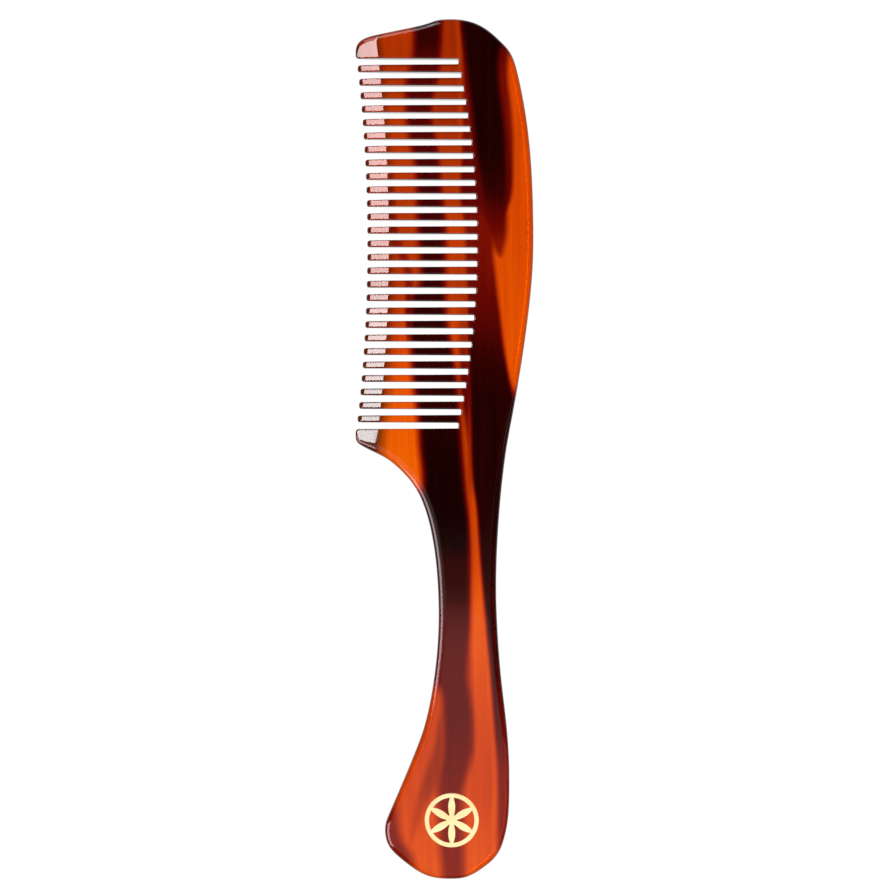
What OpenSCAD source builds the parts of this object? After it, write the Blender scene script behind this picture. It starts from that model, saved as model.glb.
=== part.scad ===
// Dressing comb with a handle, sawn from one flat sheet of tortoiseshell cellulose acetate.
// It lies on its back face: head towards +Y, handle towards -Y, tooth tips towards -X.
// The origin is the middle of the outline, on the back face. All sizes are millimetres.

/* [Sheet] */
// Thickness of the acetate sheet
sheet_t = 4; // [3:0.1:6]
// Thickness that is left at the tooth tips
tip_t = 1.4; // [0.8:0.1:2.4]
// Width of the flat ground on both faces behind the tooth tips
grind_w = 5; // [2:0.25:9]

/* [Overall] */
// Length from the end of the handle to the top of the head
comb_l = 191.4; // [160:0.2:240]
// Width from the tips of the end guards to the fullest part of the spine
head_w = 39.6; // [33:0.2:50]

/* [Teeth] */
// Number of teeth between the two end guards
tooth_count = 27; // [15:1:33]
// Distance from one tooth to the next
tooth_pitch = 3; // [2.4:0.1:3.6]
// Width of a slot at its root
slot_root_w = 1.25; // [0.8:0.05:1.6]
// Width of a slot between the tooth tips
slot_tip_w = 1.5; // [0.8:0.05:1.8]
// Length of the slot in the middle of the row
slot_l = 24.5; // [18:0.5:30]
// How far the row of tips bows in behind the guard tips
tip_bow = 2.6; // [1:0.1:4]
// How much shorter the slots at both ends reach into the head
root_bow = 4.2; // [1:0.1:6]
// Corner radius of the tooth tips, seen from the face
tip_r = 0.5; // [0.2:0.05:0.6]

/* [Guards] */
// From the top of the head to the middle of the first slot
front_guard_w = 9.5; // [8:0.1:14]
// From the middle of the last slot to the shoulder under the rear guard's tip
rear_guard_w = 4.6; // [4:0.1:7]
// Corner radius at the guard tips, beside the slot
guard_r = 0.7; // [0.3:0.1:1.2]

/* [Handle] */
// Width of the neck at its narrowest
neck_w = 12.8; // [9:0.1:18]
// Height of the neck's narrowest place above the end of the handle
neck_up = 61.5; // [50:0.5:75]
// From the fullest part of the spine in to the middle of the neck
neck_in = 14.7; // [12:0.1:18]
// Width of the paddle at the end of the handle
paddle_w = 27.7; // [22:0.1:34]
// From the fullest part of the spine in to the middle of the paddle
paddle_in = 19.2; // [16:0.1:22]

/* [Emblem] */
// Diameter of the metal emblem
emblem_d = 12; // [8:0.5:15]
// Thickness of the metal emblem
emblem_t = 0.35; // [0.2:0.05:0.8]
// Thickness of the adhesive film under it
film_t = 0.1; // [0.05:0.05:0.2]
// Height of the emblem's middle above the end of the handle
emblem_up = 13.2; // [10:0.1:18]
// How far the emblem sits to the spine side of the paddle's middle
emblem_off = 1; // [-2:0.1:2]
// Width of the emblem's ring
ring_w = 0.95; // [0.6:0.05:1.4]

/* [Hidden] */
$fn = 72;
cone_fn = 256;      // the grinding cone is 350 mm in radius, so it needs finer steps
curve_steps = 8;    // straight pieces in each stretch of the outline
tip_steps = 4;      // straight pieces in each rounded tooth corner
film_inset = 0.15;  // how far the film stays inside the metal's edge
hub_r = emblem_d / 10;
petal_count = 6;
cut_over = 2;       // how far the grinding tool reaches past the material

function tooth_name(i) = str(i < 10 ? "tooth_0" : "tooth_", i);

// ---- Row of teeth. x runs from the guard tips to the spine, y up from the end of the handle. ----

first_slot_y = comb_l - front_guard_w;
bay_half = tooth_count * tooth_pitch / 2;
bay_mid = first_slot_y - bay_half;
last_slot_y = bay_mid - bay_half;

function radius_over(half_chord, rise) = (half_chord * half_chord + rise * rise) / (2 * rise);
function sag(r, d) = r - sqrt(r * r - d * d);

tip_curve_r = radius_over(bay_half + front_guard_w / 4, tip_bow);
root_curve_r = radius_over(bay_half, root_bow);

function slot_y(k) = first_slot_y - k * tooth_pitch;
function tip_x(y) = tip_bow - sag(tip_curve_r, y - bay_mid);
function root_x(y) = tip_bow + slot_l - sag(root_curve_r, y - bay_mid);

// Slot k, from 0 at the front guard: its two root corners, front side first.
function slot_end(k) = [for (side = [1, -1]) [root_x(slot_y(k)), slot_y(k) + side * slot_root_w / 2]];

// ---- Outline. An anchor is [x, y, heading, pull in, pull out]. ----
// The heading is the way round the outline, in degrees. A pull is the length of the curve's
// handle there, as a share of the straight distance to the neighbouring anchor.

neck_x = head_w - neck_in;
neck_l = neck_x - neck_w / 2;
neck_r = neck_x + neck_w / 2;
paddle_x = head_w - paddle_in;
paddle_l = paddle_x - paddle_w / 2;
paddle_r = paddle_x + paddle_w / 2;
guard_x = 0;        // the guard tips are the drawing's zero line
front_edge_y = first_slot_y + slot_tip_w / 2;
rear_edge_y = last_slot_y - slot_tip_w / 2;

front_anchors = [
    [head_w - 18.3, comb_l,        180, 0.39, 0.56],  // top of the head
    [head_w - 25.6, comb_l - 1.5,  193, 0.55, 0.35],  // start of the long slope to the guard
    [3.6,           comb_l - 3.7,  193, 0.35, 0.65],  // end of the slope
    [guard_x,       comb_l - 7.5,  270, 0.30, 0.35],  // nose of the front guard
    [guard_x,       front_edge_y + guard_r, 270, 0.35, 0.39],
    [guard_x + guard_r, front_edge_y, 0, 0.39, 0.35],
];

rear_anchors = [
    [guard_x + guard_r, rear_edge_y,           180, 0.35, 0.39],
    [guard_x,           rear_edge_y - guard_r, 270, 0.39, 0.35],
    [guard_x,           last_slot_y - rear_guard_w / 2, 270, 0.35, 0.50],  // nose of the rear guard
    [1.6,               last_slot_y - rear_guard_w, -30, 0.42, 0.33],
    [neck_l - 6.5,      last_slot_y - rear_guard_w - 7.4, -49, 0.57, 0.28],
    [neck_l,            neck_up - 3,  -90, 0.26, 0.32],  // hollow of the neck, tooth side
    [paddle_l + 7.7,    neck_up / 2, -111, 0.26, 0.41],
    [paddle_l + 1.8,    16.5,        -113, 0.37, 0.50],
    [paddle_l,          11,           -90, 0.30, 0.43],
    [paddle_l + 3.9,    4.2,          -39, 0.41, 0.46],
    [paddle_x + 0.6,    0,              0, 0.40, 0.31],  // end of the handle
    [paddle_r - 4.4,    3.6,           39, 0.58, 0.43],
    [paddle_r - 0.9,    10,            75, 0.26, 0.30],
    [paddle_r,          22.5,          90, 0.30, 0.41],
    [(paddle_r + neck_r) / 2 - 0.3, 44.2, 96, 0.24, 0.28],
    [neck_r,            neck_up + 3,   90, 0.28, 0.39],  // hollow of the neck, spine side
    [head_w - 5.4,      last_slot_y - 1.6, 79, 0.20, 0.26],
    [head_w,            bay_mid,       90, 0.29, 0.48],  // fullest part of the spine
    [head_w - 3.5,      comb_l - 12.1, 103, 0.28, 0.55],
    [head_w - 8,        comb_l - 4.3,  136, 0.34, 0.39],
    front_anchors[0],
];

function unit(a) = [cos(a), sin(a)];
function xy(a) = [a[0], a[1]];
function bezier(p, q, r, s, t) =
    pow(1 - t, 3) * p + 3 * pow(1 - t, 2) * t * q + 3 * (1 - t) * t * t * r + t * t * t * s;
function stretch(a, b, reach) =
    [for (i = [0:curve_steps - 1])
        bezier(xy(a), xy(a) + a[4] * reach * unit(a[2]), xy(b) - b[3] * reach * unit(b[2]), xy(b),
               i / curve_steps)];
function curve(anchors) =
    [for (i = [0:len(anchors) - 2])
        each stretch(anchors[i], anchors[i + 1], norm(xy(anchors[i + 1]) - xy(anchors[i])))];

body_outline = concat(
    curve(front_anchors),
    [xy(front_anchors[len(front_anchors) - 1])],
    [for (k = [0:tooth_count]) each slot_end(k)],
    curve(rear_anchors));

// Tooth i lies between slots i-1 and i. Its tip corners are quarter circles.
function tip_corner(cx, cy, from) =
    [for (j = [0:tip_steps]) [cx, cy] + tip_r * unit(from + 90 * j / tip_steps)];
function tooth_outline(i) =
    let (mid = (slot_y(i - 1) + slot_y(i)) / 2,
         half = (tooth_pitch - slot_tip_w) / 2 - tip_r,
         nose = tip_x(mid) + tip_r)
    concat(
        [slot_end(i - 1)[1]],
        tip_corner(nose, mid + half, 90),
        tip_corner(nose, mid - half, 180),
        [slot_end(i)[0]]);

// ---- Sub-parts ----

// Moves the drawing so that the middle of its box is at the origin.
module in_frame()
    translate([-(min(guard_x, paddle_l) + max(head_w, paddle_r)) / 2, -comb_l / 2, 0]) children();

// Both faces are ground to a cone that follows the row of tips.
module grind() {
    slope = (sheet_t - tip_t) / 2 / grind_w;
    reach = grind_w + cut_over;
    sweep = 2 * asin((bay_half + front_guard_w + cut_over) / (tip_curve_r - cut_over));
    for (face = [0, 1])
        translate([tip_bow - tip_curve_r, bay_mid, sheet_t / 2])
            mirror([0, 0, face])
                rotate(-sweep / 2)
                    rotate_extrude(angle = sweep, $fn = cone_fn)
                        translate([tip_curve_r - cut_over, sheet_t / 2])
                            polygon([[0, -slope * reach], [reach, 0], [reach, cut_over], [0, cut_over]]);
}

module comb_body()
    color("#7a2408")
        in_frame()
            difference() {
                linear_extrude(sheet_t) polygon(body_outline);
                grind();
            }

module tooth(i)
    color("#a8400c")
        in_frame()
            difference() {
                linear_extrude(sheet_t) polygon(tooth_outline(i));
                grind();
            }

// Six-petal rosette in a ring. inset draws the same figure a little leaner.
module rosette(inset = 0) {
    petal_r = emblem_d / 2 - 0.3 * ring_w;
    difference() {
        circle(d = emblem_d - 2 * inset);
        circle(d = emblem_d - 2 * ring_w + 2 * inset);
    }
    circle(r = hub_r - inset);
    for (p = [0:petal_count - 1])
        rotate(p * 360 / petal_count + 90)
            intersection_for(side = [60, -60])
                translate(petal_r * unit(side)) circle(r = petal_r - inset);
}

module on_paddle(z) in_frame() translate([paddle_x + emblem_off, emblem_up, z]) children();

module emblem_adhesive()
    color("#d8c9a0") on_paddle(sheet_t) linear_extrude(film_t) rosette(film_inset);

module emblem()
    color("#f2dc96") on_paddle(sheet_t + film_t) linear_extrude(emblem_t) rosette();

comb_body();
for (i = [1:tooth_count]) tooth(i);
emblem_adhesive();
emblem();
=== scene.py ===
# %% [markdown]
# # A tortoiseshell comb, finished in Blender
# The comb is one piece of cellulose acetate: sawn from flat sheet, ground thinner behind the tooth
# tips, then tumbled with polishing wax until every edge is round. A thin gold-plated emblem is
# stuck on the paddle. The CAD model holds every size. This lesson adds what CAD leaves out: the
# rounded edges, the depth of the plastic, its dark streaks, and the light of a small product studio.

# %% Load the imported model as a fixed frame
import math

import bpy
import numpy as np
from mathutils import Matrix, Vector, geometry


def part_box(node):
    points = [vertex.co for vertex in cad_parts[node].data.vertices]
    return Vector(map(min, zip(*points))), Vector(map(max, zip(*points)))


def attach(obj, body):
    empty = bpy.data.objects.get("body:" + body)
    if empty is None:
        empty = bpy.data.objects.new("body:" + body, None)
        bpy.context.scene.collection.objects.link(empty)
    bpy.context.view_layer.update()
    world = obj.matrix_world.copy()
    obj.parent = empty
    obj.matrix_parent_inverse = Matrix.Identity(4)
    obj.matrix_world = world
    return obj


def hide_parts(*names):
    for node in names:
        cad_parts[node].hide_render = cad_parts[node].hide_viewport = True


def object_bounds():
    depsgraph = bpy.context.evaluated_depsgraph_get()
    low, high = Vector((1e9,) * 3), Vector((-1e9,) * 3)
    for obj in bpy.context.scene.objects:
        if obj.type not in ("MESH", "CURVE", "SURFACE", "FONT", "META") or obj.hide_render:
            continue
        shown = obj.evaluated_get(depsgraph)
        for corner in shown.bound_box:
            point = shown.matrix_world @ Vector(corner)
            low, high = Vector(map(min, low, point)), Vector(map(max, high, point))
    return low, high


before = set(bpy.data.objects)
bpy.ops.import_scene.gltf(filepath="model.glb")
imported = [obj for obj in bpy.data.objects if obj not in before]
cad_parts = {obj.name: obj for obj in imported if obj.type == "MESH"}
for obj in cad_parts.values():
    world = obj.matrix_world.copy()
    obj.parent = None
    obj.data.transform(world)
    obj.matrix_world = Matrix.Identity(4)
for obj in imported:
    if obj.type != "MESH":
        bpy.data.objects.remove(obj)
cad_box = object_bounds()
MM = 0.001
print("CAD box in metres:", [[round(v, 4) for v in corner] for corner in cad_box])

# %% [markdown]
# ## Where things are
# Positions are read from the CAD nodes. Two grinding sizes can't be read from a node's box, so they
# are repeated here: 1.4 mm of the sheet is left at the tips, and the ground flat is 5 mm wide. The
# tips lie on a wide circle, so three of them fix it.

# %% Sizes that come from the frame, in millimetres
teeth = sorted(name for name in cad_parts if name.startswith("tooth_"))
acetate_nodes = ["comb_body"] + teeth


def box_mm(node):
    low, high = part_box(node)
    return low / MM, high / MM


body_low, body_high = box_mm("comb_body")
sheet_t = body_high.z - body_low.z
mid_z = (body_high.z + body_low.z) / 2
tip_t = 1.4        # thickness that is left at the tooth tips
grind_w = 5.0      # width of the ground flat behind them


def tooth_tip(node):
    low, high = box_mm(node)
    return Vector((low.x, (low.y + high.y) / 2))


def circle_through(a, b, c):
    """Centre and radius of the circle through three points in the plane."""
    rows = np.array([[2 * (b.x - a.x), 2 * (b.y - a.y)], [2 * (c.x - a.x), 2 * (c.y - a.y)]])
    sums = np.array([b.dot(b) - a.dot(a), c.dot(c) - a.dot(a)])
    x, y = np.linalg.solve(rows, sums)
    return Vector((x, y)), (a - Vector((x, y))).length


tips = [tooth_tip(teeth[0]), tooth_tip(teeth[len(teeth) // 2]), tooth_tip(teeth[-1])]
tip_centre, tip_radius = circle_through(*tips)
print(f"{len(teeth)} teeth, sheet {sheet_t:.2f} mm, tips on a circle of {tip_radius:.0f} mm")

# %% [markdown]
# ## The comb's outline
# The real comb has no seam between a tooth and its spine, but the CAD teeth are separate solids, so
# that things can pass between them. A cut through all of them at mid height gives closed loops.
# Where a tooth meets the body, the same line is drawn once each way. Dropping those pairs leaves a
# single loop: the sawn outline. This keeps the CAD as the only source of the shape.

# %% Cut the solids at mid height
known_points = []


def merged(point, tolerance=0.002):
    """The point that was already met at this place, or this one as a new point."""
    for known in known_points:
        if abs(known[0] - point.x) < tolerance and abs(known[1] - point.y) < tolerance:
            return known
    known_points.append((point.x, point.y))
    return known_points[-1]


def wall_crossings(node):
    """Directed pieces of the node's outline at mid height, with the material on their left."""
    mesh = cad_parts[node].data
    mesh.calc_loop_triangles()
    pieces = {}
    for triangle in mesh.loop_triangles:
        corners = [mesh.vertices[i].co / MM for i in triangle.vertices]
        above = [corner.z > mid_z for corner in corners]
        if all(above) or not any(above):
            continue
        ends = []
        for a, b in ((0, 1), (1, 2), (2, 0)):
            if above[a] != above[b]:
                share = (mid_z - corners[a].z) / (corners[b].z - corners[a].z)
                ends.append(corners[a].lerp(corners[b], share).xy)
        along = Vector((-triangle.normal.y, triangle.normal.x))
        if (ends[1] - ends[0]).dot(along) < 0:
            ends.reverse()
        start, end = merged(ends[0]), merged(ends[1])
        if start != end:
            pieces[start] = end
    return pieces


def chain(pieces):
    """Follows the pieces round into one closed list of points."""
    start = min(pieces)
    loop = [start]
    while pieces[loop[-1]] != start and len(loop) <= len(pieces):
        loop.append(pieces[loop[-1]])
    return loop


def corners_only(loop, straight=0.005):
    """Leaves out the points where the line doesn't turn: the sine of the turn is under straight."""
    corners = []
    for i, point in enumerate(loop):
        arriving = Vector(point) - Vector(loop[i - 1])
        leaving = Vector(loop[(i + 1) % len(loop)]) - Vector(point)
        if abs(arriving.cross(leaving)) > straight * arriving.length * leaving.length:
            corners.append(point)
    return corners


def with_points_between(loop, others, touch=0.005, at_end=0.001):
    """Adds each of the other points that lies on one of the loop's straight stretches.

    touch is how far off the line it may be, in millimetres, and at_end the share of the stretch
    at either end where it counts as the end itself.
    """
    full = []
    for i, start in enumerate(loop):
        way = Vector(loop[(i + 1) % len(loop)]) - Vector(start)
        full.append(start)
        between = {}
        for other in others:
            offset = Vector(other) - Vector(start)
            share = way.dot(offset) / way.length_squared
            if at_end < share < 1 - at_end and abs(way.cross(offset)) < touch * way.length:
                between[share] = other
        full += [between[share] for share in sorted(between)]
    return full


def add_loop(outline, loop):
    """Adds a closed loop; a stretch that is already there in the other direction goes instead."""
    for i, point in enumerate(loop):
        following = loop[(i + 1) % len(loop)]
        if outline.get(following) == point:
            del outline[following]
        else:
            outline[point] = following


# %% Join the loops of the teeth and the body into one
joined = {}
for node in teeth:
    add_loop(joined, corners_only(chain(wall_crossings(node))))
body_loop = corners_only(chain(wall_crossings("comb_body")))
add_loop(joined, with_points_between(body_loop, list(joined)))
sawn_loop = chain(joined)
print(f"one outline of {len(sawn_loop)} corners from {len(acetate_nodes)} solids")
assert len(sawn_loop) == len(joined), "the teeth and the body don't join into one outline"

# %% [markdown]
# ## From corners to a smooth line
# The saw leaves a small round in each slot's two inner corners. The rest of the outline is a smooth
# curve, so the straight pieces between its corners are replaced by curves whose directions agree
# at every corner. The long cuts beside the teeth stay straight. Extra points go in where the
# ground flat begins, because an edge of the final mesh has to run along that crease.

# %% Smooth the outline and space its points
slot_corner_r = 0.3                # round that the saw leaves in a slot's inner corners
sharp_turn = math.radians(50)      # a turn above this is such a corner
straight_cut = 8.0                 # a piece longer than this is a saw cut, and stays straight
spacing = 0.75                     # from one point to the next on a curve
cut_spacing = 1.5                  # and on a saw cut


def turn_at(before, here, after):
    a, b = here - before, after - here
    return math.atan2(a.x * b.y - a.y * b.x, a.dot(b))


def rounded_corner(before, here, after, radius, steps=5):
    """Points of the arc that replaces a sharp corner."""
    arriving, leaving = (here - before).normalized(), (after - here).normalized()
    turn = turn_at(before, here, after)
    reach = radius * math.tan(abs(turn) / 2)
    centre = here - arriving * reach + radius * math.copysign(1, turn) * Vector((-arriving.y, arriving.x))
    spoke = here - arriving * reach - centre
    points = []
    for i in range(steps + 1):
        angle = turn * i / steps
        points.append(centre + Vector((spoke.x * math.cos(angle) - spoke.y * math.sin(angle),
                                       spoke.x * math.sin(angle) + spoke.y * math.cos(angle))))
    return points


corners = [Vector(point) for point in sawn_loop]
outline = []
for i, here in enumerate(corners):
    before, after = corners[i - 1], corners[(i + 1) % len(corners)]
    if abs(turn_at(before, here, after)) > sharp_turn:
        outline += rounded_corner(before, here, after, slot_corner_r)
    else:
        outline.append(here)


def direction_at(points, i):
    """The outline's direction at a point: that of the circle through it and its neighbours."""
    arriving = points[i] - points[i - 1]
    leaving = points[(i + 1) % len(points)] - points[i]
    if arriving.length > straight_cut:
        return arriving.normalized()
    if leaving.length > straight_cut:
        return leaving.normalized()
    mixed = arriving / arriving.length_squared + leaving / leaving.length_squared
    return mixed.normalized()


def hermite(p, q, p_way, q_way, t):
    """A curve from p to q that leaves along p_way and arrives along q_way."""
    length = (q - p).length
    return ((2 * t ** 3 - 3 * t ** 2 + 1) * p + (t ** 3 - 2 * t ** 2 + t) * length * p_way
            + (3 * t ** 2 - 2 * t ** 3) * q + (t ** 3 - t ** 2) * length * q_way)


def smoothed(points):
    ways = [direction_at(points, i) for i in range(len(points))]
    result = []
    for i, p in enumerate(points):
        j = (i + 1) % len(points)
        length = (points[j] - p).length
        step = cut_spacing if length > straight_cut else spacing
        count = max(1, round(length / step))
        result += [hermite(p, points[j], ways[i], ways[j], k / count) for k in range(count)]
    return result


def from_tips(point):
    """Distance behind the row of tips, in millimetres."""
    return (point - tip_centre).length - tip_radius


def with_creases(points, lines, closest=0.15):
    """Adds a point wherever the outline crosses a crease line, and drops others that crowd it.

    Returns the points, and for each line the numbers of its points.
    """
    tagged = []
    for i, p in enumerate(points):
        q = points[(i + 1) % len(points)]
        tagged.append((p, None))
        here, there = from_tips(p), from_tips(q)
        crossed = [line for line in lines if (here < line) != (there < line)]
        for line in sorted(crossed, reverse=here > there):
            tagged.append((p.lerp(q, (line - here) / (there - here)), line))
    kept = []
    for i, (point, line) in enumerate(tagged):
        beside = [tagged[i - 1], tagged[(i + 1) % len(tagged)]]
        crowded = any(tag is not None and (other - point).length < closest for other, tag in beside)
        if line is not None or not crowded:
            kept.append((point, line))
    marks = {line: [i for i, (_, tag) in enumerate(kept) if tag == line] for line in lines}
    return [point for point, _ in kept], marks


# %% Mark the creases on the outline
crease_soft = 0.3      # lines this far before and behind the crease keep its bend short
tip_round = 0.7        # length of a tip's last bit, where the faces fall off
tip_soft = 0.2         # a line this far behind it keeps that bend short
tip_lines = [tip_round, tip_round + tip_soft]
crease_lines = tip_lines + [grind_w - crease_soft, grind_w, grind_w + crease_soft]
outline, crease_marks = with_creases(smoothed(outline), crease_lines)
plan = np.array([(p.x, p.y) for p in outline])
box_low = np.min([box_mm(node)[0].xy for node in acetate_nodes], axis=0)
box_high = np.max([box_mm(node)[1].xy for node in acetate_nodes], axis=0)
plan = np.clip(plan, box_low, box_high)
print(f"outline of {len(plan)} points, {len(crease_marks[grind_w])} crease ends")

# %% [markdown]
# ## Tumbled edges
# Hours in a barrel of wooden pegs and wax take more than a quarter of the sheet off each outer edge,
# but the pegs hardly reach into the slots, so the teeth keep crisper edges. The wall is built as
# rings: each ring is the outline moved inwards a little and up a little, on a quarter ellipse. The
# rounding grows from the slots' to the outer edge's over a few millimetres of outline. The pegs
# also thin the very ends of the teeth, so both faces fall off there.

# %% Sizes of the rounding
slot_edge = (0.32, 0.25)      # how far the rounding reaches in, and down, beside a slot
outer_edge = (1.9, 1.1)       # the same round the outside
edge_blend = 8.0              # length of outline over which one becomes the other
ring_angles = [math.radians(a) for a in (0, 14, 28, 42, 56, 68, 80, 90)]
flat_band = 0.08              # a last narrow ring that keeps the face flat
most_rounded = 0.8            # share of the half thickness that the rounding may take
tip_fall = 0.5                # how steeply both faces fall off over the last bit of a tip
past_roots = 1.0              # how far behind the roots an edge still counts as a slot's
half_slot = 0.8               # a little over half a slot, beside the first and the last tooth
crease_bend = 0.05            # softens the bend between the full sheet and the ground flat
least_cosine = 0.8            # limits how much longer a normal gets at a sharp bend


def inward_normals(points):
    """Unit normals that point into the material, lengthened at bends so that walls stay even."""
    before = points - np.roll(points, 1, axis=0)
    after = np.roll(points, -1, axis=0) - points
    left = [np.stack((-side[:, 1], side[:, 0]), axis=1) for side in (before, after)]
    left = [n / np.linalg.norm(n, axis=1, keepdims=True) for n in left]
    middle = left[0] + left[1]
    middle /= np.linalg.norm(middle, axis=1, keepdims=True)
    lengthen = 1 / np.maximum((middle * left[0]).sum(axis=1), least_cosine)
    return middle * lengthen[:, None]


def smoothstep(t):
    t = np.clip(t, 0, 1)
    return t * t * (3 - 2 * t)


# %% How much of the outer edge's rounding each point of the outline gets
first_low, first_high = box_mm(teeth[0])
last_low = box_mm(teeth[-1])[0]
tooth_pitch = first_low.y - box_mm(teeth[1])[0].y
bay_top = first_high.y + tooth_pitch / 2
bay_bottom = last_low.y - tooth_pitch / 2
bay_right = max(box_mm(node)[1].x for node in teeth) + past_roots
in_bay = (plan[:, 1] < bay_top) & (plan[:, 1] > bay_bottom) & (plan[:, 0] < bay_right)
step_lengths = np.linalg.norm(plan - np.roll(plan, 1, axis=0), axis=1)
away = np.where(in_bay, 0.0, np.inf)
# The distance along the outline from the nearest slot: twice round each way, as the line is closed.
for _ in range(2):
    for i in range(len(plan)):
        away[i] = min(away[i], away[i - 1] + step_lengths[i])
    for i in range(len(plan) - 1, -1, -1):
        j = (i + 1) % len(plan)
        away[i] = min(away[i], away[j] + step_lengths[j])
outerness = smoothstep(away / edge_blend)
reach_in = slot_edge[0] + (outer_edge[0] - slot_edge[0]) * outerness
reach_down = slot_edge[1] + (outer_edge[1] - slot_edge[1]) * outerness

# %% Thickness at any place


def half_thickness(points):
    """Half the comb's thickness: the full sheet, or the ground flat towards the tips."""
    behind = np.hypot(points[:, 0] - tip_centre.x, points[:, 1] - tip_centre.y) - tip_radius
    ground = tip_t / 2 + (sheet_t - tip_t) / 2 * behind / grind_w
    on_tooth = (points[:, 1] < first_high.y + half_slot) & (points[:, 1] > last_low.y - half_slot)
    ground = ground - tip_fall * np.maximum(0, tip_round - behind) * on_tooth
    full = sheet_t / 2
    blend = np.clip(0.5 + 0.5 * (full - ground) / crease_bend, 0, 1)
    return full + (ground - full) * blend - crease_bend * blend * (1 - blend)


# %% Rings of the rounded edge
normals = inward_normals(plan)
rings = []
for angle in ring_angles:
    moved = plan + normals * (reach_in * (1 - math.cos(angle)))[:, None]
    half = half_thickness(moved)
    drop = np.minimum(reach_down, most_rounded * half)
    rings.append((moved, half - drop * (1 - math.sin(angle))))
moved = plan + normals * (reach_in + flat_band)[:, None]
rings.append((moved, half_thickness(moved)))
print(f"{len(rings)} rings a side, rounding from {reach_in.min():.2f} to {reach_in.max():.2f} mm")

# %% [markdown]
# ## Closing the faces
# The two flat faces are filled inside the last ring. A constrained triangulation keeps every edge
# of the ring and adds edges across each tooth and guard where the ground flat begins, so that the
# crease is crisp, and across each tooth where its tip falls off. The same triangles serve both faces.

# %% Fill a face
face_plan = rings[-1][0]
inside_only = 1          # the triangulation's way of keeping only what lies inside the ring
merge_under = 1e-6       # points closer than this are one


def total_length(pairs):
    return sum(np.linalg.norm(face_plan[a] - face_plan[b]) for a, b in pairs)


crease_edges = []
for line in crease_lines:
    marks = crease_marks[line]
    # The marks lie in order round the outline, so they pair up in two ways: across the teeth and
    # guards, or across the slots and once from guard to guard, which is longer in all.
    from_first = list(zip(marks[0::2], marks[1::2]))
    from_second = list(zip(marks[1::2], marks[2::2] + marks[:1]))
    pairs = min(from_first, from_second, key=total_length)
    if line in tip_lines:
        pairs = [(a, b) for a, b in pairs if in_bay[a] and in_bay[b]]
    crease_edges += pairs
ring_edges = [(i, (i + 1) % len(face_plan)) for i in range(len(face_plan))]
filled = geometry.delaunay_2d_cdt([Vector(p) for p in face_plan], ring_edges + crease_edges,
                                  [list(range(len(face_plan)))], inside_only, merge_under)
_, _, fill_faces, fill_origins, _, _ = filled
assert all(origin for origin in fill_origins), "the inner ring crosses itself"
face_triangles = [[fill_origins[i][0] for i in face] for face in fill_faces]
print(f"face of {len(face_triangles)} triangles")

# %% Build the comb's mesh from the rings and the two faces
count = len(plan)
points = []
for side in (1, -1):
    for ring_plan, ring_half in rings:
        height = mid_z + side * ring_half
        points += [(x * MM, y * MM, z * MM) for (x, y), z in zip(ring_plan, height)]
lower = count * len(rings)
faces = []
for i in range(count):
    j = (i + 1) % count
    faces.append((lower + i, lower + j, j, i))
    for r in range(len(rings) - 1):
        a, b = r * count, (r + 1) * count
        faces.append((a + i, a + j, b + j, b + i))
        faces.append((lower + b + i, lower + b + j, lower + a + j, lower + a + i))
top = count * (len(rings) - 1)
for a, b, c in face_triangles:
    faces.append((top + a, top + b, top + c))
    faces.append((lower + top + c, lower + top + b, lower + top + a))

comb_mesh = bpy.data.meshes.new("comb")
comb_mesh.from_pydata(points, [], faces)
comb_mesh.shade_smooth()

# %% [markdown]
# A steep edge bends the light from below away from the eye, so it looks dark. That dark rim is
# painted shade: each point of the mesh carries how much its colour is darkened, from none on the flat
# to the most at the wall. The narrow rounding in the slots darkens sooner than the wide one outside.

# %% Painted shade on the steep edges, and the finished comb
outer_dark = (0.66, 0.25)     # cosine of the ring angle where darkening starts, and how far it grows
slot_dark = (0.30, 0.50)      # the same beside a slot


def darkening(angle, start_and_growth):
    start, growth = start_and_growth
    return smoothstep((math.cos(angle) - start) / growth)


ring_shade = []
for angle in ring_angles:
    in_slot = darkening(angle, slot_dark)
    ring_shade.append(in_slot + (darkening(angle, outer_dark) - in_slot) * outerness)
ring_shade.append(np.zeros(count))
edge_shade_attribute = comb_mesh.attributes.new("painted_edge_shade", "FLOAT", "POINT")
edge_shade_attribute.data.foreach_set("value", np.tile(np.concatenate(ring_shade), 2).astype(np.float32))
comb = bpy.data.objects.new("comb", comb_mesh)
bpy.context.scene.collection.objects.link(comb)
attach(comb, "root")
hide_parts(*acetate_nodes)
print(f"comb: {len(comb_mesh.vertices)} points, {len(comb_mesh.polygons)} faces")

# %% [markdown]
# ## One helper for every node
# A material is a small machine of nodes. This function adds one node, sets its values by name, and
# links its inputs, so that each finish below reads as a list of steps.

# %% Helpers for materials


def linear(hex_colour):
    """An sRGB hex value as the linear colour that a shader works in."""
    channels = [int(hex_colour[i:i + 2], 16) / 255 for i in (1, 3, 5)]
    return [c / 12.92 if c <= 0.04045 else ((c + 0.055) / 1.055) ** 2.4 for c in channels] + [1.0]


def add_node(tree, kind, settings=None, inputs=None):
    """Adds a node. An input may be a number, a colour, or another node's output socket."""
    node = tree.nodes.new(kind)
    for name, value in (settings or {}).items():
        setattr(node, name, value)
    for name, value in (inputs or {}).items():
        socket = node.inputs[name]
        if isinstance(value, bpy.types.NodeSocket):
            tree.links.new(value, socket)
        else:
            socket.default_value = value
    return node


def new_material(name):
    material = bpy.data.materials.new(name)
    material.use_nodes = True
    material.node_tree.nodes.clear()
    return material, material.node_tree


def finish_material(tree, shader):
    add_node(tree, "ShaderNodeOutputMaterial", inputs={"Surface": shader.outputs[0]})


def math_node(tree, operation, first, second=0.0, clamp=False):
    settings = {"operation": operation, "use_clamp": clamp}
    return add_node(tree, "ShaderNodeMath", settings, {0: first, 1: second}).outputs[0]


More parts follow.
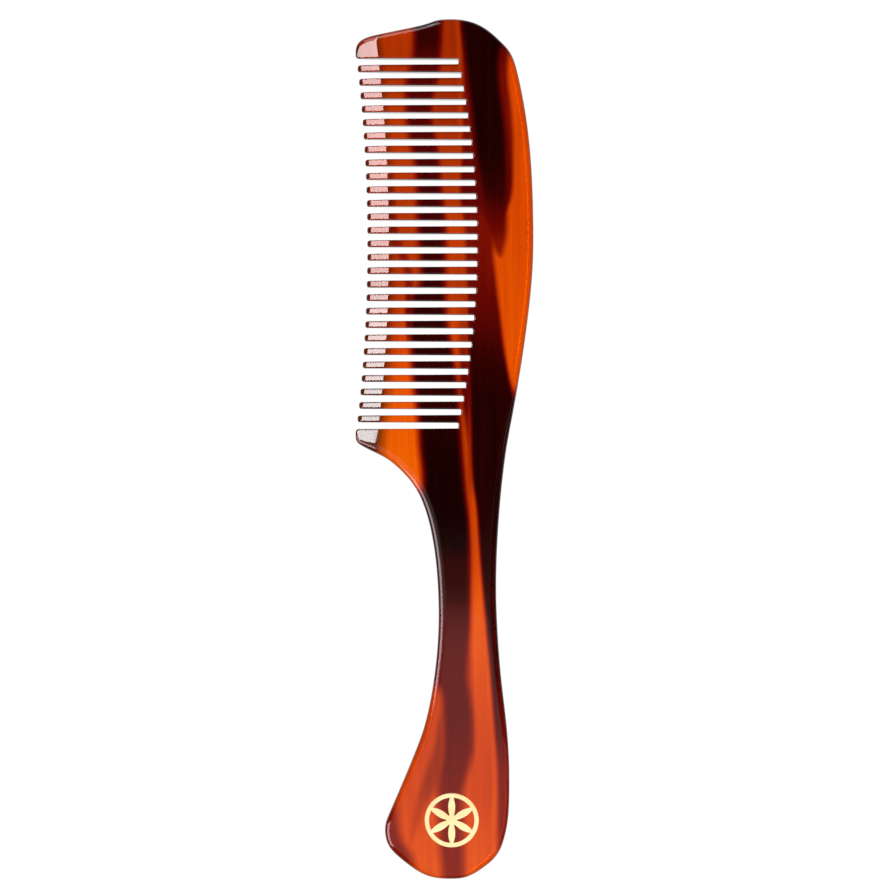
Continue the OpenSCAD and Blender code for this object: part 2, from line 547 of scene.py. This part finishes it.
def set_ramp(node, stops):
    """Gives a colour ramp its stops of (position, colour)."""
    elements = node.color_ramp.elements
    while len(elements) < len(stops):
        elements.new(0.5)
    for element, (place, colour) in zip(elements, stops):
        element.position = place
        element.color = colour


# %% [markdown]
# ## Tortoiseshell acetate
# Cellulose acetate for combs is pressed from blocks in which dark and amber flakes have been rolled
# together, so the dark runs through the sheet as long soft streaks along the comb. Light from behind
# comes through amber as orange, through a thin streak as red, and hardly at all through a thick one.
# The pattern is painted in layers, as a colour mixer would think of it: an amber ground, then bands of
# darker stock. Each band has a left edge, a right edge and a darkness, all of which change along the comb.

# %% Coordinates of the streaks, in millimetres from the handle's end and from the guard tips
acetate, tree = new_material("tortoiseshell_cellulose_acetate")
comb_l = body_high.y - body_low.y
across_max = 50.0      # the stops across the comb are shares of this
wander_w = 1.0         # how far the streaks stray sideways

position = add_node(tree, "ShaderNodeTexCoord").outputs["Object"]
# The flakes were rolled along the sheet, so the wander is slow along the comb and small across it.
wander = add_node(tree, "ShaderNodeTexNoise", {"noise_dimensions": "3D"},
                  {"Vector": position, "Scale": 1 / (30 * MM), "Detail": 2.0, "Roughness": 0.4})
in_mm = add_node(tree, "ShaderNodeVectorMath", {"operation": "SCALE"}, {0: position, "Scale": 1 / MM})
split = add_node(tree, "ShaderNodeSeparateXYZ", inputs={0: in_mm.outputs[0]})
shift = math_node(tree, "MULTIPLY", math_node(tree, "SUBTRACT", wander.outputs["Fac"], 0.5), wander_w)
x_mm = math_node(tree, "SUBTRACT", split.outputs["X"], body_low.x)
x_mm = math_node(tree, "ADD", x_mm, shift)
y_mm = math_node(tree, "SUBTRACT", split.outputs["Y"], body_low.y)
along = math_node(tree, "DIVIDE", y_mm, comb_l)


def along_comb(stops, most):
    """A value that follows given stops of (millimetres from the handle's end, value)."""
    node = add_node(tree, "ShaderNodeFloatCurve", inputs={"Value": along})
    curve = node.mapping.curves[0]
    node.mapping.use_clip = False
    ordered = sorted(stops)
    while len(curve.points) < len(ordered):
        curve.points.new(0.5, 0.5)
    for point, (y, value) in zip(curve.points, ordered):
        point.location = (y / comb_l, value / most)
        point.handle_type = "AUTO_CLAMPED"
    node.mapping.update()
    return math_node(tree, "MULTIPLY", node.outputs[0], most)


def paint_band(ground, left, right, darkness, softness):
    """Lays a soft-edged band of darkness over the ground. All but softness are stops along the comb."""
    left_in = math_node(tree, "SUBTRACT", x_mm, along_comb(left, across_max))
    right_in = math_node(tree, "SUBTRACT", along_comb(right, across_max), x_mm)
    inside = math_node(tree, "MINIMUM", left_in, right_in)
    mask = add_node(tree, "ShaderNodeMapRange", {"interpolation_type": "SMOOTHSTEP"},
                    {"Value": inside, "From Min": -softness, "From Max": softness})
    mixed = add_node(tree, "ShaderNodeMix", {"data_type": "FLOAT"},
                     {"Factor": mask.outputs[0], "A": ground, "B": along_comb(darkness, 1.0)})
    return mixed.outputs[0]


# %% Amber ground, which is clearer on the spine side
amber = along_comb([(0, .06), (16, .11), (34, .15), (60, .15), (90, .02), (103, .03), (112, .07),
                    (122, .15), (134, .25), (150, .25), (168, .23), (180, .27), (191, .25)], 1.0)
darkness = paint_band(amber, left=[(0, 27), (191, 27)], right=[(0, 50), (191, 50)],
                      darkness=[(0, .10), (60, .06), (126, .07), (150, .10), (191, .12)], softness=1.0)

# %% Red-brown stock at the paddle's bulge
darkness = paint_band(
    darkness,
    left=[(0, 0), (24, 0), (32, 45), (191, 45)],
    right=[(0, 13.5), (4, 12.8), (10, 9.8), (16, 9.0), (24, 8.0), (32, 0), (191, 0)],
    darkness=[(0, .46), (10, .46), (191, .46)],
    softness=1.6)

# %% The long dark core, which starts beside the teeth, fills the neck and fades towards the paddle
darkness = paint_band(
    darkness,
    left=[(0, 19.6), (10, 18.6), (22, 18.2), (28, 19.2), (34, 19.5), (40, 19.4), (46, 16.5), (56, 13),
          (80, 13.2), (88, 15.2), (96, 14.4), (103, 13.9), (110, 13.0), (118, 12.4), (127, 11.6),
          (134, 14.7), (145, 14.0), (158, 13.4), (166, 11.8), (175, 11.2), (184, 12.8), (191, 13.2)],
    right=[(0, 24.3), (10, 24.0), (18, 23.6), (22, 24.4), (26, 25.6), (30, 26.4), (34, 26.4), (40, 25.8),
           (46, 25.0), (58, 25.6), (76, 25.7), (88, 24.5), (97, 23.6), (108, 22.8), (117, 21.6),
           (126, 20.0), (135, 19.8), (144, 19.9), (153, 19.2), (162, 18.2), (171, 17.0), (180, 18.6),
           (191, 19.2)],
    darkness=[(0, .43), (22, .49), (34, .55), (46, .58), (52, .61), (58, .66), (64, .77), (70, .80),
              (76, .90), (97, .88), (104, .83), (110, .80), (126, .80), (135, .76), (144, .74),
              (153, .72), (171, .65), (180, .65), (187, .78), (191, .80)],
    softness=1.4)

# %% Dark red stock behind the spine, which turns black towards the neck
darkness = paint_band(
    darkness,
    left=[(0, 31.6), (10, 31.6), (22, 31.6), (28, 31.4), (34, 30.9), (40, 30.5), (46, 30.0), (58, 29.0),
          (70, 28.0), (82, 27.2), (90, 26.0), (104, 25.4), (117, 25.0), (126, 24.7), (144, 24.6),
          (153, 23.3), (162, 23.6), (171, 24.0), (180, 24.0), (191, 23.3)],
    right=[(0, 50), (92, 50), (100, 39), (104, 36.0), (110, 34.4), (117, 33.2), (126, 32.2),
           (134, 31.2), (140, 30.6), (144, 30.8), (147, 32.2), (150, 33.9), (153, 34.7), (162, 35.0),
           (171, 34.6), (180, 33.8), (187, 34.4), (191, 50)],
    darkness=[(0, .44), (22, .48), (28, .54), (34, .64), (40, .70), (50, .80), (82, .86), (104, .86),
              (110, .84), (117, .76), (126, .61), (135, .52), (146, .50), (153, .60), (162, .54),
              (171, .50), (180, .53), (191, .76)],
    softness=0.8)

# %% The black core of the spine, which ends in a rounded tongue beside the middle teeth
darkness = paint_band(
    darkness,
    left=[(0, 45), (135, 37), (138.5, 32.2), (141, 30.7), (145, 29.5), (153, 28.4), (162, 26.9),
          (171, 26.0), (180, 25.0), (191, 24.0)],
    right=[(0, 20), (135, 28), (138.5, 32.2), (141, 33.1), (145, 33.6), (153, 33.4), (162, 33.3),
           (171, 32.6), (180, 31.8), (186, 32.6), (191, 40)],
    darkness=[(0, .44), (139, .44), (144, .52), (149, .66), (156, .82), (166, .88), (191, .88)],
    softness=1.0)

# %% The thread of light that runs from the head to the paddle between the two dark cores
darkness = paint_band(
    darkness,
    left=[(0, 25.2), (10, 25.4), (18, 25.6), (24, 26.6), (28, 27.0), (34, 27.0), (40, 26.8), (46, 26.2),
          (52, 25.7), (58, 25.8), (70, 26.1), (76, 26.0), (82, 25.6), (88, 25.2), (97, 24.7),
          (102, 24.2), (108, 23.3), (117, 23.0), (126, 22.9), (135, 21.7), (144, 21.1), (153, 20.0),
          (162, 18.9), (171, 17.9), (180, 19.6), (191, 20.2)],
    right=[(0, 28.8), (10, 29.6), (22, 30.6), (28, 30.6), (34, 30.4), (40, 30.0), (46, 29.5),
           (52, 28.9), (58, 28.5), (70, 27.4), (76, 26.9), (82, 26.6), (88, 26.1), (97, 25.4),
           (102, 25.3), (108, 25.6), (117, 25.2), (126, 25.0), (135, 24.6), (144, 23.7), (153, 22.5),
           (162, 23.0), (171, 23.0), (180, 23.0), (191, 22.2)],
    darkness=[(0, .06), (10, .09), (22, .15), (34, .12), (46, .08), (58, .05), (70, .12), (76, .16),
              (82, .20), (88, .34), (97, .46), (102, .56), (108, .58), (117, .44), (126, .29),
              (135, .26), (144, .20), (153, .28), (162, .26), (171, .34), (180, .31), (191, .33)],
    softness=0.9)

# %% A thin dark thread in the amber beside the tips, and a red one in the paddle
darkness = paint_band(
    darkness,
    left=[(0, 14), (112, 14), (120, 11.6), (126, 11.2), (135, 10.9), (144, 7.4), (153, 7.2), (160, 8.6),
          (168, 11), (191, 11)],
    right=[(0, 8), (112, 8), (120, 11.4), (126, 12.8), (135, 12.6), (144, 9.6), (153, 8.6), (160, 8.0),
           (168, 5), (191, 5)],
    darkness=[(0, .5), (126, .55), (135, .44), (144, .42), (156, .36), (191, .35)],
    softness=0.6)
darkness = paint_band(
    darkness,
    left=[(0, 14), (8, 12.4), (14, 12.8), (22, 15.0), (30, 17.6), (36, 18.8), (42, 22), (191, 22)],
    right=[(0, 10), (8, 12.0), (14, 14.6), (22, 18.4), (30, 19.6), (36, 18.9), (42, 14), (191, 14)],
    darkness=[(0, .24), (8, .22), (14, .22), (22, .33), (36, .36), (191, .3)],
    softness=1.1)
print(f"streaks painted with {len(tree.nodes)} nodes")

# %% [markdown]
# Fine threads a fraction of a millimetre wide run through the whole block. They come from noise that
# is stretched along the comb. The darkness then picks the colour that white light has after passing
# through the sheet once: red light survives longest, so the ramp goes from orange through red to black.

# %% Fine threads
thread_shape = (1, 0.045, 0.6)     # how quickly the noise changes across, along and through the comb
thread_w = 1.3                     # size of the noise across the comb
thread_strength = 0.16             # how far it moves the darkness
fine_place = add_node(tree, "ShaderNodeMapping", inputs={"Vector": position, "Scale": thread_shape})
fine = add_node(tree, "ShaderNodeTexNoise", {"noise_dimensions": "3D"},
                {"Vector": fine_place.outputs[0], "Scale": 1 / (thread_w * MM), "Detail": 3.0,
                 "Roughness": 0.55})
fine_centred = math_node(tree, "SUBTRACT", fine.outputs["Fac"], 0.5)
fine_amount = math_node(tree, "MULTIPLY", fine_centred, thread_strength)
darkness = math_node(tree, "ADD", darkness, fine_amount, clamp=True)

# %% Painted shade: the colour is darkened at a steep edge, where light from below turns away from the eye
most_edge_shade = 0.8     # share of the light that a wall loses
edge_shade = add_node(tree, "ShaderNodeAttribute", {"attribute_name": "painted_edge_shade"}).outputs["Fac"]
painted_shade_multiplier = math_node(tree, "SUBTRACT", 1.0, math_node(tree, "MULTIPLY", edge_shade, most_edge_shade))

# %% Painted shade on the ground flats too: darkest at the tips, and a little darker at the crease
from_centre = add_node(tree, "ShaderNodeVectorMath", {"operation": "SUBTRACT"},
                       {0: in_mm.outputs[0], 1: (tip_centre.x, tip_centre.y, 0)})
flattened = add_node(tree, "ShaderNodeVectorMath", {"operation": "MULTIPLY"},
                     {0: from_centre.outputs[0], 1: (1, 1, 0)})
spoke_l = add_node(tree, "ShaderNodeVectorMath", {"operation": "LENGTH"}, {0: flattened.outputs[0]})
behind_tips = math_node(tree, "SUBTRACT", spoke_l.outputs["Value"], tip_radius)
ground_reach = 10.0      # millimetres behind the tips that the stops span


def painted_shade_behind_tips(stops):
    """The share of painted shade, from stops of (millimetres behind the tips, share)."""
    node = add_node(tree, "ShaderNodeValToRGB", inputs={
        "Fac": math_node(tree, "DIVIDE", behind_tips, ground_reach)})
    set_ramp(node, [(place / ground_reach, (share, share, share, 1)) for place, share in stops])
    return node.outputs["Color"]


painted_shade_on_head = painted_shade_behind_tips([(0, .88), (0.6, .75), (1.1, .22), (4.6, .05), (5.0, .45), (5.3, .45),
                                 (6.6, 0)])
painted_shade_on_guard = painted_shade_behind_tips([(0, .88), (0.7, .84), (1.2, .90), (4.8, .90), (5.2, .75), (5.8, .55),
                                  (7.8, 0)])
# From the middle teeth down to the rear guard, the painted shade on the flats grows darker.
towards_guard = add_node(tree, "ShaderNodeMapRange", {"interpolation_type": "SMOOTHSTEP"}, {
    "Value": y_mm, "From Min": 150.0, "From Max": 102.0})
painted_flat_shade = add_node(tree, "ShaderNodeMix", {"data_type": "RGBA"}, {"Factor": towards_guard.outputs[0]})
tree.links.new(painted_shade_on_head, painted_flat_shade.inputs[6])
tree.links.new(painted_shade_on_guard, painted_flat_shade.inputs[7])
painted_shade_multiplier = math_node(tree, "MULTIPLY", painted_shade_multiplier, math_node(tree, "SUBTRACT", 1.0, painted_flat_shade.outputs[2]))

# %% The colour of the light that gets through
light_through = add_node(tree, "ShaderNodeValToRGB", inputs={"Fac": darkness})
amber_to_black = [(0.00, "#F96A04"), (0.04, "#F05A02"), (0.12, "#D94502"), (0.31, "#A72D02"),
                  (0.43, "#8C1702"), (0.55, "#680702"), (0.76, "#370201"), (0.90, "#170100"),
                  (1.00, "#080000")]
set_ramp(light_through, [(place, linear(colour)) for place, colour in amber_to_black])

# %% [markdown]
# Polished acetate is smooth to the touch but not optically flat: tumbling leaves a slow waviness,
# which is too small for geometry and so is bump. Handling leaves soft patches that are a little less
# glossy. The plastic bends light a little less than glass, with an index of refraction of 1.48.

# %% Surface of the acetate
waves = add_node(tree, "ShaderNodeTexNoise", {"noise_dimensions": "3D"},
                 {"Vector": position, "Scale": 1 / (9 * MM), "Detail": 1.5, "Roughness": 0.4})
wave_bump = add_node(tree, "ShaderNodeBump", inputs={"Strength": 0.05, "Distance": 0.25 * MM,
                                                     "Height": waves.outputs["Fac"]})
wear = add_node(tree, "ShaderNodeTexNoise", {"noise_dimensions": "3D"},
                {"Vector": position, "Scale": 1 / (22 * MM), "Detail": 4.0, "Roughness": 0.6})
roughness = add_node(tree, "ShaderNodeMapRange", inputs={
    "Value": wear.outputs["Fac"], "From Min": 0.35, "From Max": 0.7, "To Min": 0.04, "To Max": 0.07})
# The painted shade of the steep edges and the ground flats darkens the colour of the light that gets through.
colour_with_painted_shade = add_node(tree, "ShaderNodeVectorMath", {"operation": "SCALE"},
                  {0: light_through.outputs["Color"], "Scale": painted_shade_multiplier})
plastic = add_node(tree, "ShaderNodeBsdfPrincipled", inputs={
    "Base Color": colour_with_painted_shade.outputs[0], "Roughness": roughness.outputs[0],
    "IOR": 1.48, "Transmission Weight": 1.0, "Normal": wave_bump.outputs[0]})
finish_material(tree, plastic)
comb_mesh.materials.append(acetate)
print(f"acetate material: {len(tree.nodes)} nodes")

# %% [markdown]
# ## The emblem
# A thin gold-plated plate, etched through and stuck on. Here it is a plain ring with a rosette drawn
# with compasses, so it repeats one petal by a rule. That suits Geometry Nodes: a petal is where two
# discs overlap, and the tree turns copies of it round the middle and joins a ring and a hub to them.
# The width of the ring, the hub and the number of petals are the CAD emblem's.

# %% Geometry Nodes tree for the rosette
emblem_low, emblem_high = box_mm("emblem")
emblem_d = emblem_high.x - emblem_low.x
emblem_t = emblem_high.z - emblem_low.z
ring_w = 0.95
hub_r = emblem_d / 10
petal_count = 6
petal_inset = 0.3        # how far the petals end inside the rim, as a share of the ring's width
petal_height = 0.85      # of the plate's thickness
circle_steps = 96        # straight pieces in each circle
rosette = bpy.data.node_groups.new("rosette_in_a_ring", "GeometryNodeTree")
rosette_sizes = {"Diameter": emblem_d * MM, "Ring width": ring_w * MM, "Thickness": emblem_t * MM,
                 "Hub radius": hub_r * MM}
rosette.interface.new_socket("Geometry", in_out="OUTPUT", socket_type="NodeSocketGeometry")
for name, value in rosette_sizes.items():
    socket = rosette.interface.new_socket(name, in_out="INPUT", socket_type="NodeSocketFloat")
    socket.default_value = value
petal_socket = rosette.interface.new_socket("Petals", in_out="INPUT", socket_type="NodeSocketInt")
petal_socket.default_value = petal_count
metal_socket = rosette.interface.new_socket("Metal", in_out="INPUT", socket_type="NodeSocketMaterial")
given = add_node(rosette, "NodeGroupInput").outputs
print("rosette sizes in metres:", {name: round(value, 5) for name, value in rosette_sizes.items()})

# %% Ring, petals and hub


def disc(radius, thickness, at=None):
    """A closed disc that may be moved from the middle."""
    solid = add_node(rosette, "GeometryNodeMeshCylinder", {"fill_type": "NGON"},
                     {"Vertices": circle_steps, "Radius": radius, "Depth": thickness}).outputs["Mesh"]
    if at is None:
        return solid
    return add_node(rosette, "GeometryNodeTransform", inputs={
        "Geometry": solid, "Translation": at}).outputs[0]


def number(operation, first, second):
    return math_node(rosette, operation, first, second)


outer_r = number("DIVIDE", given["Diameter"], 2.0)
# The ring is a flat strip that is led round a circle.
strip = add_node(rosette, "GeometryNodeCurvePrimitiveQuadrilateral", inputs={
    "Width": given["Ring width"], "Height": given["Thickness"]})
middle_r = number("SUBTRACT", outer_r, number("DIVIDE", given["Ring width"], 2.0))
path = add_node(rosette, "GeometryNodeCurvePrimitiveCircle", inputs={
    "Resolution": circle_steps, "Radius": middle_r})
ring = add_node(rosette, "GeometryNodeCurveToMesh", inputs={
    "Curve": path.outputs["Curve"], "Profile Curve": strip.outputs["Curve"]})
# The petals are etched a little lower than the ring and the hub, which hide their points.
petal_r = number("SUBTRACT", outer_r, number("MULTIPLY", given["Ring width"], petal_inset))
petal_t = number("MULTIPLY", given["Thickness"], petal_height)
petal_solid = add_node(rosette, "GeometryNodeMeshBoolean", {"operation": "INTERSECT", "solver": "EXACT"})
for side in (60, -60):
    way = math.radians(side)
    at = add_node(rosette, "ShaderNodeCombineXYZ", inputs={
        "X": number("MULTIPLY", petal_r, math.cos(way)),
        "Y": number("MULTIPLY", petal_r, math.sin(way)),
        "Z": number("DIVIDE", number("SUBTRACT", petal_t, given["Thickness"]), 2.0)})
    rosette.links.new(disc(petal_r, petal_t, at.outputs[0]), petal_solid.inputs["Mesh 2"])
index = add_node(rosette, "GeometryNodeInputIndex").outputs[0]
share = number("DIVIDE", number("MULTIPLY", index, math.tau), given["Petals"])
turned = add_node(rosette, "ShaderNodeCombineXYZ", inputs={"Z": number("ADD", share, math.radians(90))})
middles = add_node(rosette, "GeometryNodePoints", inputs={"Count": given["Petals"]})
petals = add_node(rosette, "GeometryNodeInstanceOnPoints", inputs={
    "Points": middles.outputs[0], "Instance": petal_solid.outputs["Mesh"], "Rotation": turned.outputs[0]})
plate = add_node(rosette, "GeometryNodeJoinGeometry")
for part in (petals.outputs[0], ring.outputs[0], disc(given["Hub radius"], given["Thickness"])):
    rosette.links.new(part, plate.inputs[0])
realised = add_node(rosette, "GeometryNodeRealizeInstances", inputs={"Geometry": plate.outputs[0]})
coated = add_node(rosette, "GeometryNodeSetMaterial", inputs={
    "Geometry": realised.outputs[0], "Material": given["Metal"]})
add_node(rosette, "NodeGroupOutput", inputs={"Geometry": coated.outputs[0]})
print(f"rosette tree: {len(rosette.nodes)} nodes")

# %% [markdown]
# ## Gold-plated metal
# Electroformed emblems are plated with a pale gold and left satin. A metal's colour is its
# reflection, so the base colour is the gold itself. Very fine grain from the plating breaks up the
# reflection, and handling leaves soft patches that shine a little more.

# %% Material of the emblem
gold, tree = new_material("satin_pale_gold_plating")
position = add_node(tree, "ShaderNodeTexCoord").outputs["Object"]
grain = add_node(tree, "ShaderNodeTexNoise", inputs={"Vector": position, "Scale": 1 / (0.12 * MM),
                                                     "Detail": 2.0})
patches = add_node(tree, "ShaderNodeTexNoise", inputs={"Vector": position, "Scale": 1 / (3 * MM),
                                                       "Detail": 3.0})
gold_colour = add_node(tree, "ShaderNodeMix", {"data_type": "RGBA"}, {"Factor": patches.outputs["Fac"]})
gold_colour.inputs[6].default_value = linear("#FFE7A2")
gold_colour.inputs[7].default_value = linear("#FFF3C4")
shine = add_node(tree, "ShaderNodeMapRange", inputs={
    "Value": patches.outputs["Fac"], "To Min": 0.34, "To Max": 0.46})
grain_bump = add_node(tree, "ShaderNodeBump", inputs={"Strength": 0.15, "Distance": 0.01 * MM,
                                                      "Height": grain.outputs["Fac"]})
metal = add_node(tree, "ShaderNodeBsdfPrincipled", inputs={
    "Base Color": gold_colour.outputs[2], "Metallic": 1.0, "Roughness": shine.outputs[0],
    "Normal": grain_bump.outputs[0]})
finish_material(tree, metal)
print(f"gold material: {len(tree.nodes)} nodes")

# %% Run the tree and put the plate in its place
holder = bpy.data.objects.new("emblem_tree", bpy.data.meshes.new("emblem_tree"))
bpy.context.scene.collection.objects.link(holder)
modifier = holder.modifiers.new("rosette", "NODES")
modifier.node_group = rosette
modifier[metal_socket.identifier] = gold
evaluated = holder.evaluated_get(bpy.context.evaluated_depsgraph_get())
plate_mesh = bpy.data.meshes.new_from_object(evaluated)
bpy.data.objects.remove(holder)
emblem_middle = (emblem_low + emblem_high) / 2 * MM
for vertex in plate_mesh.vertices:
    vertex.co += emblem_middle
plate_mesh.shade_flat()
plate_mesh.materials.clear()
plate_mesh.materials.append(gold)
for face in plate_mesh.polygons:
    face.material_index = 0
emblem_plate = bpy.data.objects.new("emblem_plate", plate_mesh)
bpy.context.scene.collection.objects.link(emblem_plate)
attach(emblem_plate, "root")
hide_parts("emblem")
print(f"emblem: {len(plate_mesh.vertices)} points, material slots {len(plate_mesh.materials)}")

# %% [markdown]
# ## The adhesive film
# The film under the plate is the CAD node itself. It is clear acrylic that has yellowed slightly,
# seen only as a thin line at the plate's edge.

# %% Material of the film
film, tree = new_material("clear_acrylic_transfer_adhesive")
position = add_node(tree, "ShaderNodeTexCoord").outputs["Object"]
haze = add_node(tree, "ShaderNodeTexNoise", inputs={"Vector": position, "Scale": 1 / (0.8 * MM)})
film_colour = add_node(tree, "ShaderNodeMix", {"data_type": "RGBA"}, {"Factor": haze.outputs["Fac"]})
film_colour.inputs[6].default_value = linear("#D9C79A")
film_colour.inputs[7].default_value = linear("#E6DAB8")
tacky = add_node(tree, "ShaderNodeMapRange", inputs={
    "Value": haze.outputs["Fac"], "To Min": 0.35, "To Max": 0.55})
glue = add_node(tree, "ShaderNodeBsdfPrincipled", inputs={
    "Base Color": film_colour.outputs[2], "Roughness": tacky.outputs[0], "IOR": 1.47})
finish_material(tree, glue)
film_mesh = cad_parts["emblem_adhesive"].data
film_mesh.materials.clear()
film_mesh.materials.append(film)
print(f"film material: {len(tree.nodes)} nodes")

# %% [markdown]
# ## Studio
# Tortoiseshell only shows its colours with light behind it, so the comb lies on a white light table.
# The table is a plain plane that glows evenly, so the slots read white and the amber lights up.
# Tall soft lights on the tooth side draw the bright lines on the rounded edges and the pale ground
# flats. Beside the handle, wide pinkish lights on both sides and a dim card above it lay a faint haze
# over the dark plastic. One more light beyond the head brightens its edges.

# %% Light table


def flat_sheet(name, half_width, y_from, y_to, height, material):
    """A level rectangle that belongs to the studio, in metres."""
    mesh = bpy.data.meshes.new(name)
    mesh.from_pydata([(-half_width, y_from, height), (half_width, y_from, height),
                      (half_width, y_to, height), (-half_width, y_to, height)], [], [(0, 1, 2, 3)])
    mesh.materials.append(material)
    sheet = bpy.data.objects.new(name, mesh)
    bpy.context.scene.collection.objects.link(sheet)


table_half = 3.0
table_gap = 0.02         # millimetres under the comb, so that the two faces don't share a plane
opal, tree = new_material("opal_acrylic_lit_from_below")
glow = add_node(tree, "ShaderNodeEmission", inputs={"Color": linear("#FFFFFF"), "Strength": 1.0})
finish_material(tree, glow)
flat_sheet("light_table", table_half, -table_half, table_half, cad_box[0][2] - table_gap * MM, opal)
print(f"light table {2 * table_half:.0f} m square")

# %% Lights


def soft_light(name, place, target, width, height, brightness, colour="#FFFFFF"):
    """A rectangle of even light. brightness is its radiance, where the table is 1."""
    light = bpy.data.lights.new(name, "AREA")
    light.shape = "RECTANGLE"
    light.size = width
    light.size_y = height
    light.energy = brightness * math.pi * width * height
    light.color = linear(colour)[:3]
    holder = bpy.data.objects.new(name, light)
    holder.location = place
    holder.rotation_euler = (Vector(target) - Vector(place)).to_track_quat("-Z", "Y").to_euler()
    bpy.context.scene.collection.objects.link(holder)
    return holder


def light_from_left(name, from_angle, to_angle, y_from, y_to, distance, brightness, colour="#FFFFFF"):
    """A light on the tooth side, for a stretch of y in metres.

    Seen from the comb it fills the angles between from_angle and to_angle, in degrees from straight up.
    """
    middle = math.radians((from_angle + to_angle) / 2)
    half = math.radians((to_angle - from_angle) / 2)
    y = (y_from + y_to) / 2
    place = (-distance * math.sin(middle), y, distance * math.cos(middle))
    across = 2 * distance * math.tan(half)
    soft_light(name, place, (0, y, 0), y_to - y_from, across, brightness, colour)


# Name, two angles, two places along y, distance, brightness and, where it isn't white, colour.
light_from_left("tall_strip_light", 24.5, 36, 0.075, 1.2, 0.7, 12.5)
light_from_left("low_strip_light", 24.5, 36, 0.035, 0.075, 0.7, 18.5)
light_from_left("side_panel", 40, 66, -0.6, 0.0, 0.8, 9.0, "#FFDADF")
light_from_left("left_haze", 10, 40, -0.6, 0.03, 0.9, 1.0, "#FFDADF")

soft_light("right_haze", place=(0.58, -0.37, 0.69), target=(0, -0.37, 0), width=0.54, height=0.62,
           brightness=0.6, colour="#FFDADF")
soft_light("back_light", place=(-0.28, 0.62, 0.42), target=(-0.05, 0.09, 0), width=0.4, height=0.4,
           brightness=3.0)
print("soft lights:", [light.name for light in bpy.data.lights])

# %% A dim card above the handle, brighter away from the head
card_half = 0.4          # half of the card's width; these four are in metres
card_height = 0.8        # above the light table
card_near = -0.04        # its edge towards the head
card_far = -1.4          # and the one away from it
card, tree = new_material("dim_grey_card")
card_y = add_node(tree, "ShaderNodeSeparateXYZ", inputs={
    0: add_node(tree, "ShaderNodeTexCoord").outputs["Object"]}).outputs["Y"]
card_glow = add_node(tree, "ShaderNodeMapRange", {"interpolation_type": "SMOOTHSTEP"}, {
    "Value": card_y, "From Min": -0.062, "From Max": -0.09, "To Min": 0.10, "To Max": 0.62})
finish_material(tree, add_node(tree, "ShaderNodeEmission", inputs={
    "Color": linear("#FFF8F0"), "Strength": card_glow.outputs[0]}))
flat_sheet("haze_card", card_half, card_far, card_near, card_height, card)

# %% A small snooted lamp for the emblem only
spot = bpy.data.lights.new("emblem_lamp", "SPOT")
spot.energy = 5.5
spot.spot_size = math.radians(1.3)
spot.spot_blend = 0.2
spot.shadow_soft_size = 0.003
spot_holder = bpy.data.objects.new("emblem_lamp", spot)
spot_holder.location = (0.12, -0.40, 0.62)
spot_holder.rotation_euler = (emblem_middle - spot_holder.location).to_track_quat("-Z", "Y").to_euler()
bpy.context.scene.collection.objects.link(spot_holder)

# %% World: pale walls low down, dark above
world = bpy.data.worlds.new("dim_studio")
bpy.context.scene.world = world
world.use_nodes = True
tree = world.node_tree
tree.nodes.clear()
way = add_node(tree, "ShaderNodeTexCoord").outputs["Generated"]
height = add_node(tree, "ShaderNodeSeparateXYZ", inputs={0: way}).outputs["Z"]
wall = add_node(tree, "ShaderNodeMapRange", {"interpolation_type": "SMOOTHSTEP"},
                {"Value": height, "From Min": 0.0, "From Max": 0.5, "To Min": 0.12, "To Max": 0.01})
air = add_node(tree, "ShaderNodeBackground", inputs={"Color": linear("#F4F6FA"), "Strength": wall.outputs[0]})
add_node(tree, "ShaderNodeOutputWorld", inputs={"Surface": air.outputs[0]})

# %% [markdown]
# ## Camera
# The comb is seen square to its face, with its length upright in the picture. A long lens keeps
# the outline true: at 135 mm the teeth at the ends look the same as those in the middle.

# %% Camera above the comb
view_w = 198.4                   # width of the picture at the comb's mid height
view_middle = (0.11, 0.89)       # place at the picture's middle
lens = 135.0
sensor = 36.0
camera_data = bpy.data.cameras.new("camera_above")
camera_data.lens = lens
camera_data.sensor_width = sensor
camera_data.clip_end = 20
camera = bpy.data.objects.new("camera_above", camera_data)
camera.location = Vector((*view_middle, mid_z + view_w * lens / sensor)) * MM
bpy.context.scene.collection.objects.link(camera)
bpy.context.scene.camera = camera
bpy.context.scene.view_settings.view_transform = "Standard"
print(f"camera {camera.location.z:.3f} m above the light table")
